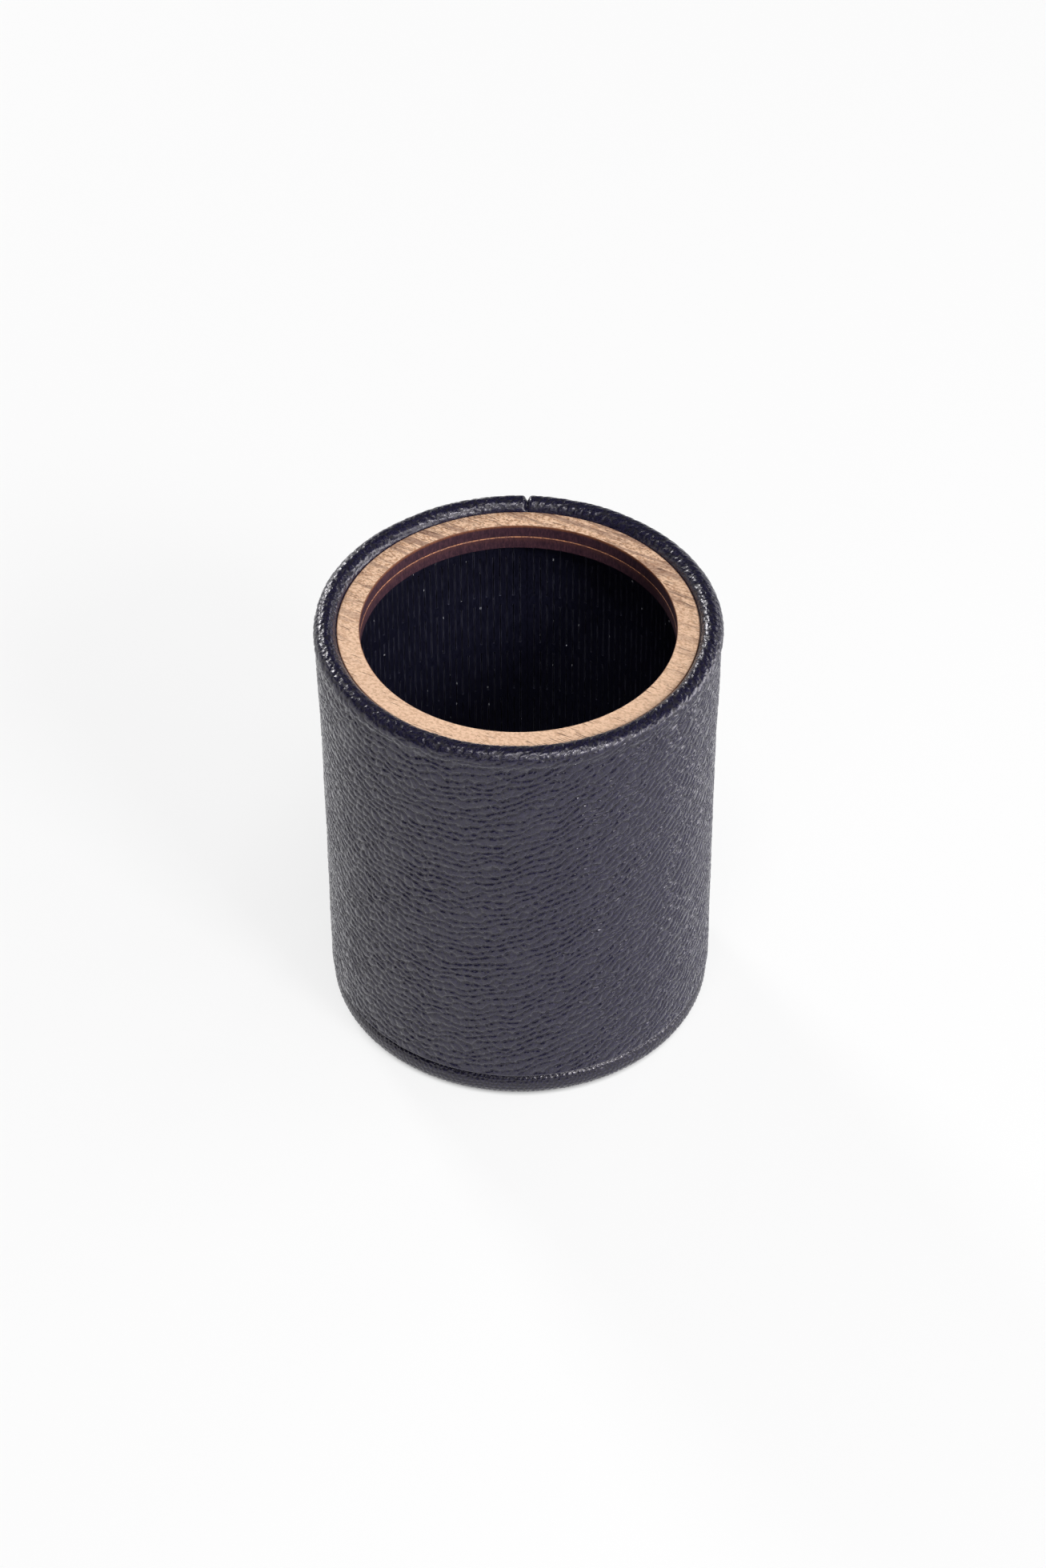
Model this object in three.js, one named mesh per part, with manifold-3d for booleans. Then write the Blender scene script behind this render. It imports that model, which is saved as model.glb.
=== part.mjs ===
// A round desk cup for pens: a kerf-bent board sleeve covered in leather, with two wooden rings set
// inside its rolled rim and a leather-covered base disc with a felt foot.
// Millimetres, +Z up. The origin is the centre of the foot, on the surface that the cup stands on.
// The seam of the sleeve and of its leather faces +Y, at the back.

import * as THREE from 'three';
import { mergeVertices } from 'three/addons/utils/BufferGeometryUtils.js';
import Module from 'manifold-3d';

// Driving dimensions
const RING_OUTER_R = 37.5;
const RING_INNER_R = 32.8;
const RING_THICKNESS = 3;
const RING_TOP_Z = 98.2;

const SLEEVE_INNER_R = 38.3;
const SLEEVE_THICKNESS = 2.2;
const WALL_LEATHER = 1.05;
const CROWN_RADIUS = 2.45; // of the rolled rim's round section
const CROWN_DROP = 0.65; // from the wood's top face down to the middle of that section
const CROWN_FLARE = 3.2; // height over which the wall swells out into the rolled rim

const SEAM_WIDTH = 0.3;
const NOTCH_WIDTH = 1.7; // of the V where the seam crosses the rim
const NOTCH_DEPTH = 1.1;

const FOOT_R = 31.5;
const FOOT_PROUD = 0.2; // the felt stands below the base leather by this much
const BASE_R = 41.3;
const BASE_LEATHER = 0.55;
const BASE_PLATE_THICKNESS = 5.5;
const BASE_EDGE_ROUND = 3; // of the leather over the plate's edges
const BASE_TURN_IN = 9; // width of the leather's margins on the plate's two faces
const FLOOR_THICKNESS = 3;

const GLUE = 0.05; // a glue line between two faces
const FIT = 0.1; // clearance of a disc dropped into the sleeve
const SEGMENTS = 72; // facets around the cup
const ARC_STEP = Math.PI / 6; // angle of one facet on a rounded edge

// Heights and radii that follow from them
const baseBottomZ = FOOT_PROUD;
const plateBottomZ = baseBottomZ + BASE_LEATHER + GLUE;
const plateTopZ = plateBottomZ + BASE_PLATE_THICKNESS;
const baseTopZ = plateTopZ + GLUE + BASE_LEATHER;
const wallBottomZ = baseTopZ + GLUE;
const lowerRingBottomZ = RING_TOP_Z - 2 * RING_THICKNESS - GLUE;
const sleeveOuterR = SLEEVE_INNER_R + SLEEVE_THICKNESS;
const wallR = sleeveOuterR + GLUE + WALL_LEATHER;
const crownR = RING_OUTER_R + GLUE + CROWN_RADIUS;
const crownZ = RING_TOP_Z - CROWN_DROP;
const crownTopZ = crownZ + CROWN_RADIUS;

const wasm = await Module();
wasm.setup();

const leatherMaterial = new THREE.MeshStandardMaterial({ color: 0x26252b, roughness: 0.5, metalness: 0 });
const veneerMaterial = new THREE.MeshStandardMaterial({ color: 0xc79e77, roughness: 0.55, metalness: 0 });
const blackBoardMaterial = new THREE.MeshStandardMaterial({ color: 0x121216, roughness: 0.6, metalness: 0 });
const plainBoardMaterial = new THREE.MeshStandardMaterial({ color: 0x8a6a4c, roughness: 0.8, metalness: 0 });
const feltMaterial = new THREE.MeshStandardMaterial({ color: 0x1b1b1d, roughness: 0.95, metalness: 0 });

// Points along an arc in the (radius, height) plane, both ends included.
function arc(centreR, centreZ, radius, startAngle, endAngle) {
  const steps = Math.max(2, Math.round(Math.abs(endAngle - startAngle) / ARC_STEP));
  const points = [];
  for (let i = 0; i <= steps; i++) {
    const angle = startAngle + ((endAngle - startAngle) * i) / steps;
    points.push([centreR + radius * Math.cos(angle), centreZ + radius * Math.sin(angle)]);
  }
  return points;
}

// A solid turned about +Z from a profile of [radius, height] points, counter-clockwise in that plane.
function turn(profile) {
  const points = profile.map(([r, z]) => new THREE.Vector2(r, z));
  points.push(points[0].clone());
  const geometry = new THREE.LatheGeometry(points, SEGMENTS);
  geometry.rotateX(Math.PI / 2);
  return geometry;
}

// The profile of a flat ring, or of a disc where innerR is 0.
function flatProfile(innerR, outerR, bottomZ, topZ) {
  return [[innerR, bottomZ], [outerR, bottomZ], [outerR, topZ], [innerR, topZ]];
}

function toSolid(geometry) {
  const bare = geometry.clone();
  bare.deleteAttribute('normal');
  bare.deleteAttribute('uv');
  const merged = mergeVertices(bare, 1e-4);
  const triVerts = new Uint32Array(merged.index.array);
  const kept = [];
  for (let i = 0; i < triVerts.length; i += 3) {
    const [a, b, c] = triVerts.subarray(i, i + 3);
    if (a !== b && b !== c && c !== a) kept.push(a, b, c);
  }
  const vertProperties = new Float32Array(merged.attributes.position.array);
  return new wasm.Manifold(new wasm.Mesh({ numProp: 3, vertProperties, triVerts: new Uint32Array(kept) }));
}

function toGeometry(solid) {
  const mesh = solid.getMesh();
  const geometry = new THREE.BufferGeometry();
  geometry.setAttribute('position', new THREE.BufferAttribute(new Float32Array(mesh.vertProperties), 3));
  geometry.setIndex(new THREE.BufferAttribute(new Uint32Array(mesh.triVerts), 1));
  geometry.computeVertexNormals();
  return geometry;
}

// The slit where the two ends of a wrapped sheet meet, as a thin upright box at the back.
function seamBlade() {
  const blade = new THREE.BoxGeometry(SEAM_WIDTH, crownR, 2 * crownTopZ);
  blade.translate(0, crownR, crownTopZ);
  return toSolid(blade);
}

// The V that the two ends of the leather leave where they turn over the rim.
function rimNotch() {
  const overshoot = 1;
  const topWidth = (NOTCH_WIDTH * (NOTCH_DEPTH + overshoot)) / NOTCH_DEPTH;
  const outline = new THREE.Shape();
  outline.moveTo(0, crownTopZ - NOTCH_DEPTH);
  outline.lineTo(topWidth / 2, crownTopZ + overshoot);
  outline.lineTo(-topWidth / 2, crownTopZ + overshoot);
  outline.closePath();
  const length = 4 * CROWN_RADIUS;
  const wedge = new THREE.ExtrudeGeometry(outline, { depth: length, bevelEnabled: false, steps: 1 });
  wedge.rotateX(Math.PI / 2);
  wedge.translate(0, crownR + length / 2, 0);
  return toSolid(wedge);
}

function rimRing(topZ) {
  return turn(flatProfile(RING_INNER_R, RING_OUTER_R, topZ - RING_THICKNESS, topZ));
}

// The board sleeve: square at its foot and rounded over at the top, with its butt joint at the back.
function wallSleeve() {
  const halfThickness = SLEEVE_THICKNESS / 2;
  const profile = [
    [SLEEVE_INNER_R, wallBottomZ],
    [sleeveOuterR, wallBottomZ],
    ...arc(SLEEVE_INNER_R + halfThickness, crownZ, halfThickness, 0, Math.PI),
  ];
  return toGeometry(toSolid(turn(profile)).subtract(seamBlade()));
}

// The leather goes up the outside, swells into the rolled rim, turns over the sleeve's rounded top
// and runs down inside it, behind both rings.
function wallLeather() {
  const rollStart = -Math.PI / 5;
  const turnInR = SLEEVE_INNER_R - GLUE;
  const overSleeve = SLEEVE_THICKNESS / 2 + GLUE;
  const flareBottomZ = crownZ + CROWN_RADIUS * Math.sin(rollStart) - CROWN_FLARE;
  const profile = [
    [sleeveOuterR + GLUE, wallBottomZ],
    [wallR, wallBottomZ],
    [wallR, flareBottomZ],
    ...arc(crownR, crownZ, CROWN_RADIUS, rollStart, Math.PI),
    [RING_OUTER_R + GLUE, lowerRingBottomZ],
    [turnInR, lowerRingBottomZ],
    ...arc(SLEEVE_INNER_R + SLEEVE_THICKNESS / 2, crownZ, overSleeve, Math.PI, 0),
  ];
  return toGeometry(toSolid(turn(profile)).subtract(seamBlade()).subtract(rimNotch()));
}

function floorDisc() {
  return turn(flatProfile(0, SLEEVE_INNER_R - FIT, wallBottomZ, wallBottomZ + FLOOR_THICKNESS));
}

const plateR = BASE_R - BASE_LEATHER - GLUE;
const plateRound = BASE_EDGE_ROUND - BASE_LEATHER - GLUE;

function basePlate() {
  const roundR = plateR - plateRound;
  return turn([
    [0, plateBottomZ],
    ...arc(roundR, plateBottomZ + plateRound, plateRound, -Math.PI / 2, 0),
    ...arc(roundR, plateTopZ - plateRound, plateRound, 0, Math.PI / 2),
    [0, plateTopZ],
  ]);
}

// One strip of leather round the plate's edge, turned in on both of its faces.
function baseLeather() {
  const marginR = BASE_R - BASE_TURN_IN;
  const outerRoundR = BASE_R - BASE_EDGE_ROUND;
  const hollowRound = plateRound + GLUE;
  return turn([
    [marginR, baseBottomZ],
    ...arc(outerRoundR, baseBottomZ + BASE_EDGE_ROUND, BASE_EDGE_ROUND, -Math.PI / 2, 0),
    ...arc(outerRoundR, baseTopZ - BASE_EDGE_ROUND, BASE_EDGE_ROUND, 0, Math.PI / 2),
    [marginR, baseTopZ],
    [marginR, baseTopZ - BASE_LEATHER],
    ...arc(outerRoundR, plateTopZ - plateRound, hollowRound, Math.PI / 2, 0),
    ...arc(outerRoundR, plateBottomZ + plateRound, hollowRound, 0, -Math.PI / 2),
    [marginR, baseBottomZ + BASE_LEATHER],
  ]);
}

function baseFelt() {
  return turn(flatProfile(0, FOOT_R, 0, plateBottomZ - GLUE));
}

function part(name, geometry, material) {
  const mesh = new THREE.Mesh(geometry, material);
  mesh.name = name;
  return mesh;
}

const penCup = new THREE.Group();
penCup.add(
  part('rim_ring_upper', rimRing(RING_TOP_Z), veneerMaterial),
  part('rim_ring_lower', rimRing(RING_TOP_Z - RING_THICKNESS - GLUE), veneerMaterial),
  part('wall_sleeve', wallSleeve(), blackBoardMaterial),
  part('wall_leather', wallLeather(), leatherMaterial),
  part('floor_disc', floorDisc(), blackBoardMaterial),
  part('base_plate', basePlate(), plainBoardMaterial),
  part('base_leather', baseLeather(), leatherMaterial),
  part('base_felt', baseFelt(), feltMaterial),
);

export default penCup;
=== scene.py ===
import math

import bpy
import numpy as np
from mathutils import Matrix, Vector


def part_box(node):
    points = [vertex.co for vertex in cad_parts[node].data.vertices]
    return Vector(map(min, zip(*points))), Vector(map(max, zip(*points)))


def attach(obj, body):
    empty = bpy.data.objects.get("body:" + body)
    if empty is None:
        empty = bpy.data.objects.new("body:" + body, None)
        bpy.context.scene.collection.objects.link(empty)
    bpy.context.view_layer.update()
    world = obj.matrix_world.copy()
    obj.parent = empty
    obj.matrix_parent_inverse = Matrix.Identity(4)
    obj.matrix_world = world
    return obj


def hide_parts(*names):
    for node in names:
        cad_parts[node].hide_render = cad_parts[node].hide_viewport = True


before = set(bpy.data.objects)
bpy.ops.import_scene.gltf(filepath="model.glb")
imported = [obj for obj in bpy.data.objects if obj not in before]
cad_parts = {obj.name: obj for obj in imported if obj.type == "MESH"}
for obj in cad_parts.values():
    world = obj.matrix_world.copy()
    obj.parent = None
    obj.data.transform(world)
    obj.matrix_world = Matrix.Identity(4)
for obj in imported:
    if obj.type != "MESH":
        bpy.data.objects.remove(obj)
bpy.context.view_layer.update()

# A round desk cup for pens, covered in grained black leather, with two laser-cut wooden rings inside its
# rolled rim. Lengths are in millimetres, and MM turns them into the frame's metres. The seam faces +Y.

MM = 0.001
TURN = 2 * math.pi
SEAM_ANGLE = math.pi / 2


def node_span(node):
    """The outer radius, lowest z and highest z of a round CAD node."""
    low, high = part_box(node)
    return high.x / MM, low.z / MM, high.z / MM


RING_OUTER_R, UPPER_RING_BOTTOM, RING_TOP = node_span("rim_ring_upper")
LOWER_RING_BOTTOM, LOWER_RING_TOP = node_span("rim_ring_lower")[1:]
SLEEVE_OUTER_R, WALL_BOTTOM, SLEEVE_TOP = node_span("wall_sleeve")
FLOOR_R, FLOOR_BOTTOM, FLOOR_TOP = node_span("floor_disc")
BASE_R, BASE_BOTTOM, BASE_TOP = node_span("base_leather")
FELT_R, FELT_BOTTOM, FELT_TOP = node_span("base_felt")
CROWN_TOP = node_span("wall_leather")[2]

GLUE = 0.05  # left between glued faces
RING_INNER_R = 32.8
SLEEVE_INNER_R = 38.3
WALL_LEATHER = 1.05  # thickness of the leather on the wall
WALL_R = SLEEVE_OUTER_R + GLUE + WALL_LEATHER
CROWN_RADIUS = 2.45
CROWN_R = RING_OUTER_R + GLUE + CROWN_RADIUS
CROWN_Z = CROWN_TOP - CROWN_RADIUS
BASE_ROUND = 3.0  # radius of the base's rounded edges
BASE_LEATHER = 0.55  # thickness of the leather on the base

GRAIN_STEP = 0.2  # between neighbouring points of a grained surface


# ---------------------------------------------------------------- meshes


def make_piece(name, vertices, faces, material, smooth=True, material_index=None, values=None):
    """A mesh object from millimetre points, with float values per point as named attributes."""
    mesh = bpy.data.meshes.new(name)
    faces = [np.asarray(group, np.int32) for group in faces if len(group)]
    corners = np.concatenate([group.ravel() for group in faces])
    sizes = np.concatenate([np.full(len(group), group.shape[1], np.int32) for group in faces])
    mesh.vertices.add(len(vertices))
    mesh.vertices.foreach_set("co", (np.asarray(vertices, np.float32) * MM).ravel())
    mesh.loops.add(len(corners))
    mesh.loops.foreach_set("vertex_index", corners)
    mesh.polygons.add(len(sizes))
    mesh.polygons.foreach_set("loop_start", np.concatenate([[0], np.cumsum(sizes)[:-1]]).astype(np.int32))
    mesh.polygons.foreach_set("use_smooth", np.full(len(sizes), smooth))
    if material_index is not None:
        mesh.polygons.foreach_set("material_index", np.asarray(material_index, np.int32))
    for key, column in (values or {}).items():
        attribute = mesh.attributes.new(key, "FLOAT", "POINT")
        attribute.data.foreach_set("value", np.asarray(column, np.float32).ravel())
    mesh.update(calc_edges=True)
    mesh.validate()
    materials = material if isinstance(material, (list, tuple)) else [material]
    for item in materials:
        mesh.materials.append(item)
    piece = bpy.data.objects.new(name, mesh)
    bpy.context.scene.collection.objects.link(piece)
    return piece


def stand_for(piece, node):
    """Puts a piece in its CAD node's place."""
    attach(piece, "root")
    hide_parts(node)


def grid_quads(rows, columns, wrap_rows=False, wrap_columns=False):
    """Quads over points numbered row by row."""
    index = np.arange(rows * columns).reshape(rows, columns)
    if wrap_rows:
        index = np.vstack([index, index[:1]])
    if wrap_columns:
        index = np.hstack([index, index[:, :1]])
    quads = np.stack([index[:-1, :-1], index[:-1, 1:], index[1:, 1:], index[1:, :-1]], axis=-1)
    return quads.reshape(-1, 4)


def around(radius, height, angle):
    """Points at the given radii, heights and angles, whose arrays share one shape."""
    return np.stack([radius * np.cos(angle), radius * np.sin(angle), height], axis=-1).reshape(-1, 3)


def arc(centre_r, centre_z, radius, start, end, steps):
    """Points of an arc in the (radius, height) plane; the angles are in degrees."""
    angle = np.radians(np.linspace(start, end, steps + 1))
    return np.stack([centre_r + radius * np.cos(angle), centre_z + radius * np.sin(angle)], axis=-1)


def line(start, end, steps):
    return np.linspace(start, end, steps + 1)


def bezier(start, leave, arrive, end, steps):
    """A cubic curve that leaves start towards leave and reaches end from the direction of arrive."""
    t = np.linspace(0, 1, steps + 1)[:, None]
    weights = ((1 - t) ** 3, 3 * t * (1 - t) ** 2, 3 * t**2 * (1 - t), t**3)
    return sum(weight * np.array(point, float) for weight, point in zip(weights, (start, leave, arrive, end)))


def joined(*parts):
    """One outline from stretches that share their end points."""
    return np.vstack([parts[0], *[part[1:] for part in parts[1:]]])


def spaced(outline, step):
    """The outline with evenly spaced points, and its length at each point."""
    length = np.concatenate([[0], np.cumsum(np.linalg.norm(np.diff(outline, axis=0), axis=1))])
    at = np.linspace(0, length[-1], int(round(length[-1] / step)) + 1)
    return np.stack([np.interp(at, length, outline[:, 0]), np.interp(at, length, outline[:, 1])], axis=-1), at


def outward(outline):
    """Unit normals to the right of an outline's direction, which is outward when it runs up the outside."""
    run = np.gradient(outline, axis=0)
    normal = np.stack([run[:, 1], -run[:, 0]], axis=-1)
    return normal / np.linalg.norm(normal, axis=1, keepdims=True)


def smooth_step(x, low, high):
    t = np.clip((x - low) / (high - low), 0, 1)
    return t * t * (3 - 2 * t)


# ---------------------------------------------------------------- leather grain


NOISE_WAVES = 7


def slow_noise(x, y, wavelength, seed):
    """A smooth field between about -1 and 1."""
    random = np.random.default_rng(seed)
    total = np.zeros(np.broadcast(x, y).shape)
    for _ in range(NOISE_WAVES):
        direction = random.uniform(0, TURN)
        k = TURN / wavelength * random.uniform(0.6, 1.5)
        phase = random.uniform(0, TURN)
        total = total + np.sin(k * (x * math.cos(direction) + y * math.sin(direction)) + phase)
    return total / math.sqrt(NOISE_WAVES) / 1.2


PEBBLE_CELL = (2.45, 1.8)  # a pebble's length along its row and its height across it
PEBBLE_JITTER = 0.24  # in shares of a cell, either way
BRICK_SHIFT = 0.25  # rows are moved by this share of a cell, one to the left and the next to the right
BEND_ALONG = 0.22  # how far the cells wander from their places, in shares of a cell
BEND_ACROSS = 0.30
RAGGED = 0.06  # the same for the small bends that make the borders ragged
FLANK = 0.78  # from the middle of a crease to the level top of a pebble
FLANK_CURVE = 1.8
CREASE_WIDTH = 0.17  # the width of the line of painted shade in a crease, on each side of its middle
UNEVEN_TOPS = 0.12  # the share of the grain's depth by which the tops of pebbles differ
WRINKLE_CELL = (1.3, 0.8)  # the fine wrinkles over the pebbles
WRINKLE_SHARE = 0.09  # of the grain's depth
WRINKLE_FLANK = 0.35  # in shares of a wrinkle's cell


def pebbles(x, y, seed):
    """Distance from the nearest border between jittered, brick-laid unit cells, the direction across that
    border, and a random value that each cell has."""
    random = np.random.default_rng(seed)
    margin = 3
    x = x - np.floor(x.min()) + margin
    y = y - np.floor(y.min()) + margin
    shape = (int(x.max()) + margin + 1, int(y.max()) + margin + 1)
    centre = random.uniform(0.5 - PEBBLE_JITTER, 0.5 + PEBBLE_JITTER, (*shape, 2))
    centre[:, ::2, 0] += BRICK_SHIFT
    centre[:, 1::2, 0] -= BRICK_SHIFT
    tone = random.uniform(0, 1, shape)
    column, row = x.astype(int), y.astype(int)
    near = [np.full(x.shape, 1e9), np.full(x.shape, 1e9)]
    offset = [np.zeros((*x.shape, 2)), np.zeros((*x.shape, 2))]
    nearest_tone = np.zeros(x.shape)
    for i in (-1, 0, 1):
        for j in (-1, 0, 1):
            cell = centre[column + i, row + j]
            away = np.stack([column + i + cell[..., 0] - x, row + j + cell[..., 1] - y], axis=-1)
            square = (away**2).sum(-1)
            first = square < near[0]
            second = ~first & (square < near[1])
            near[1] = np.where(first, near[0], np.where(second, square, near[1]))
            offset[1] = np.where(first[..., None], offset[0], np.where(second[..., None], away, offset[1]))
            near[0] = np.where(first, square, near[0])
            offset[0] = np.where(first[..., None], away, offset[0])
            nearest_tone = np.where(first, tone[column + i, row + j], nearest_tone)
    across = offset[1] - offset[0]
    span = np.linalg.norm(across, axis=-1) + 1e-9
    border = (near[1] - near[0]) / (2 * span)
    return border, across / span[..., None], nearest_tone


def leather_grain(along, across, seed, cell=PEBBLE_CELL, even=0.0):
    """Height of pebbled leather, from 0 in the deepest crease to 1, and how much of a crease a point is.
    Creases along the rows are the deep ones, unless even is 1: then all are alike, and without wrinkles."""

    def waves(wavelength, number):
        return slow_noise(along, across, wavelength, seed + number)

    ragged = RAGGED * (1 + even)
    bend_x = waves(9.0, 1) * BEND_ALONG + waves(1.5, 2) * ragged
    bend_y = waves(8.0, 3) * BEND_ACROSS + waves(1.4, 4) * ragged
    border, normal, tone = pebbles(along / cell[0] + bend_x, across / cell[1] + bend_y, seed)
    steep = np.hypot(normal[..., 0] / cell[0], normal[..., 1] / cell[1])
    distance = border / steep
    level = np.abs(normal[..., 1]) / cell[1] / steep

    patches = 0.12 * waves(18.0, 5) + 0.12 * waves(3.0, 6)
    rowed = (0.52 + 0.48 * level**1.5) * np.clip(0.88 + patches, 0.25, 1.1)
    strength = rowed * (1 - even) + even
    # crease: the mask into which the leather's material paints shade
    crease = strength * (level * (1 - even) + even) * np.exp(-((distance / CREASE_WIDTH) ** 2))
    flank = strength * np.clip(1 - distance / FLANK, 0, 1) ** FLANK_CURVE

    gap, _, lump = pebbles(along / WRINKLE_CELL[0] + bend_x, across / WRINKLE_CELL[1] + bend_y, seed + 7)
    wrinkle = WRINKLE_SHARE * (1 - even) * (np.clip(1 - gap / WRINKLE_FLANK, 0, 1) + 0.6 * (1 - lump))
    return np.clip(1 - flank - UNEVEN_TOPS * (1 - tone) - wrinkle, 0, 1), crease


# ---------------------------------------------------------------- materials


class Nodes:
    """The node tree of a material or of the world, with short calls for the nodes used here."""

    def __init__(self, owner):
        owner.use_nodes = True
        self.owner = owner
        self.tree = owner.node_tree

    def node(self, kind, inputs=None, **settings):
        made = self.tree.nodes.new(kind)
        for key, value in settings.items():
            setattr(made, key, value)
        for key, value in (inputs or {}).items():
            self.set(made.inputs[key], value)
        return made

    def set(self, socket, value):
        if isinstance(value, bpy.types.NodeSocket):
            self.tree.links.new(value, socket)
        else:
            socket.default_value = value

    def place(self, scale=(1, 1, 1), turn=0.0):
        """The point in millimetres, turned about +Z and then scaled."""
        point = self.node("ShaderNodeTexCoord").outputs["Object"]
        size = tuple(s / MM for s in scale)
        turning = {"Vector": point, "Angle": turn}
        turned = self.node("ShaderNodeVectorRotate", turning, rotation_type="Z_AXIS").outputs[0]
        return self.node("ShaderNodeVectorMath", {0: turned, 1: size}, operation="MULTIPLY").outputs[0]

    def noise(self, point, scale, detail=3.0, roughness=0.55, distortion=0.0):
        inputs = {"Vector": point, "Scale": scale, "Detail": detail, "Roughness": roughness}
        inputs["Distortion"] = distortion
        return self.node("ShaderNodeTexNoise", inputs).outputs["Fac"]

    def cells(self, point, scale):
        """The distance from the nearest of some scattered points."""
        return self.node("ShaderNodeTexVoronoi", {"Vector": point, "Scale": scale}).outputs["Distance"]

    def math(self, operation, first, second=0.0, third=0.0):
        return self.node("ShaderNodeMath", {0: first, 1: second, 2: third}, operation=operation).outputs[0]

    def length(self, vector):
        return self.node("ShaderNodeVectorMath", {0: vector}, operation="LENGTH").outputs["Value"]

    def ramp(self, value, low, high, out_low=0.0, out_high=1.0, kind="SMOOTHSTEP"):
        """A ramp of a value from out_low to out_high."""
        inputs = {"Value": value, "From Min": low, "From Max": high, "To Min": out_low, "To Max": out_high}
        return self.node("ShaderNodeMapRange", inputs, interpolation_type=kind).outputs["Result"]

    def mix(self, share, first, second):
        made = self.node("ShaderNodeMix", data_type="RGBA", clamp_factor=True)
        colours = [socket for socket in made.inputs if socket.type == "RGBA"]
        self.set(made.inputs["Factor"], share)
        self.set(colours[0], first)
        self.set(colours[1], second)
        return next(socket for socket in made.outputs if socket.type == "RGBA")

    def value(self, attribute):
        return self.node("ShaderNodeAttribute", attribute_name=attribute).outputs["Fac"]

    def bump(self, height, distance):
        inputs = {"Height": height, "Distance": distance * MM, "Strength": 1.0}
        return self.node("ShaderNodeBump", inputs).outputs["Normal"]

    def finish(self, **inputs):
        """Sets the Principled shader's sockets, named with _ for spaces, and gives the material back."""
        shader = self.tree.nodes["Principled BSDF"]
        for key, value in inputs.items():
            self.set(shader.inputs[key.replace("_", " ")], value)
        return self.owner


def new_material(name):
    return Nodes(bpy.data.materials.new(name))


def colour(red, green, blue):
    return (red, green, blue, 1.0)


def leather_material():
    """Black leather with a blue tinge, mottled, with painted shade darkening its creases, and duller there
    and on the rim.
    """
    m = new_material("grained leather")
    ink = colour(0.0030, 0.0026, 0.0095)
    slate = colour(0.0165, 0.0148, 0.0400)
    painted_crease_shade = colour(0.0015, 0.0010, 0.0050)
    point = m.place()
    crease = m.value("crease")
    rim = m.value("rim")
    speck = m.ramp(m.noise(point, 3.2, 2.0, 0.7), 0.34, 0.66)
    # painted shade: the creases are mixed towards near-black, standing in for the shade that falls in them
    skin = m.mix(crease, m.mix(speck, ink, slate), painted_crease_shade)
    pores = m.cells(point, 3.4)
    fine = m.noise(point, 2.6, 4.0, 0.65)
    dullness = m.math("ADD", m.math("MULTIPLY", rim, 0.08), m.math("MULTIPLY", crease, 0.2))
    shine = m.math("ADD", m.ramp(fine, 0.3, 0.7, 0.13, 0.24), dullness)
    relief = m.math("ADD", m.math("MULTIPLY", pores, 0.6), fine)
    relief = m.math("MULTIPLY", relief, m.math("ADD", rim, 1.0))
    return m.finish(
        Base_Color=skin, Roughness=shine, Normal=m.bump(relief, 0.010), Specular_IOR_Level=0.56,
        Specular_Tint=colour(1.0, 0.955, 1.0), Sheen_Weight=0.3, Sheen_Roughness=0.25,
    )


GRAIN_TURN = math.radians(27)  # the wood's grain is turned this far from the X axis


def veneer_material():
    """Light open-pored wood: a speckled ground, dark pores along one direction and a few dark bands, with
    more of each towards the back. Its cut edges are scorched."""
    m = new_material("ring veneer")
    pale_tan = colour(0.79, 0.54, 0.375)
    tan = colour(0.44, 0.24, 0.135)
    fibre_brown = colour(0.40, 0.22, 0.13)
    band_brown = colour(0.21, 0.115, 0.085)
    pore_brown = colour(0.12, 0.055, 0.035)
    scorched = colour(0.10, 0.045, 0.025)

    def grain(length, width):
        """The point in a space turned to the wood's grain: a smaller length draws features out along it."""
        return m.place((length, width, width), GRAIN_TURN)

    where = m.node("ShaderNodeSeparateXYZ", {0: m.place()})
    behind = m.ramp(where.outputs[1], -25, 34)
    band = m.noise(grain(0.035, 0.55), 1.0, 3.0, 0.55, 0.3)
    speckle = m.noise(grain(0.7, 1.0), 1.8, 4.0, 0.75)
    fibre = m.noise(grain(0.10, 1.0), 6.0, 3.0, 0.6)
    mottle = m.math("MULTIPLY", m.ramp(speckle, 0.44, 0.60), m.math("MULTIPLY_ADD", behind, 0.45, 0.55))
    wood = m.mix(mottle, pale_tan, tan)
    wood = m.mix(m.ramp(fibre, 0.55, 0.75, 0.0, 0.35), wood, fibre_brown)
    dark_band = m.math("MULTIPLY", m.ramp(band, 0.50, 0.60), m.math("MULTIPLY_ADD", behind, 0.62, 0.06))
    wood = m.mix(dark_band, wood, band_brown)

    streak = m.cells(grain(0.16, 3.4), 1.0)
    flecks = m.cells(grain(0.9, 3.0), 1.0)
    crowd = m.math("ADD", m.noise(grain(0.2, 0.5), 1.0, 2.0), m.math("MULTIPLY", behind, 0.10))
    long_pore = m.math("MULTIPLY", m.ramp(streak, 0.30, 0.22), m.ramp(crowd, 0.50, 0.56))
    short_pore = m.math("MULTIPLY", m.ramp(flecks, 0.28, 0.20), m.math("MULTIPLY_ADD", behind, 0.66, 0.22))
    pore = m.math("MAXIMUM", long_pore, short_pore)
    wood = m.mix(m.math("MULTIPLY", pore, 0.85), wood, pore_brown)

    flat = m.node("ShaderNodeCombineXYZ", {0: where.outputs[0], 1: where.outputs[1]})
    radius = m.length(flat.outputs[0])
    scorch_in = m.ramp(radius, RING_INNER_R + 0.25, RING_INNER_R + 0.05, 0.0, 0.5)
    scorch_out = m.ramp(radius, RING_OUTER_R - 0.32, RING_OUTER_R - 0.04, 0.0, 0.85)
    wood = m.mix(m.math("MAXIMUM", scorch_in, scorch_out), wood, scorched)
    relief = m.math("SUBTRACT", m.math("MULTIPLY", speckle, 0.5), pore)
    gloss = m.ramp(fibre, 0.3, 0.7, 0.50, 0.62)
    return m.finish(Base_Color=wood, Roughness=gloss, Normal=m.bump(relief, 0.05), Specular_IOR_Level=0.35)


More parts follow.
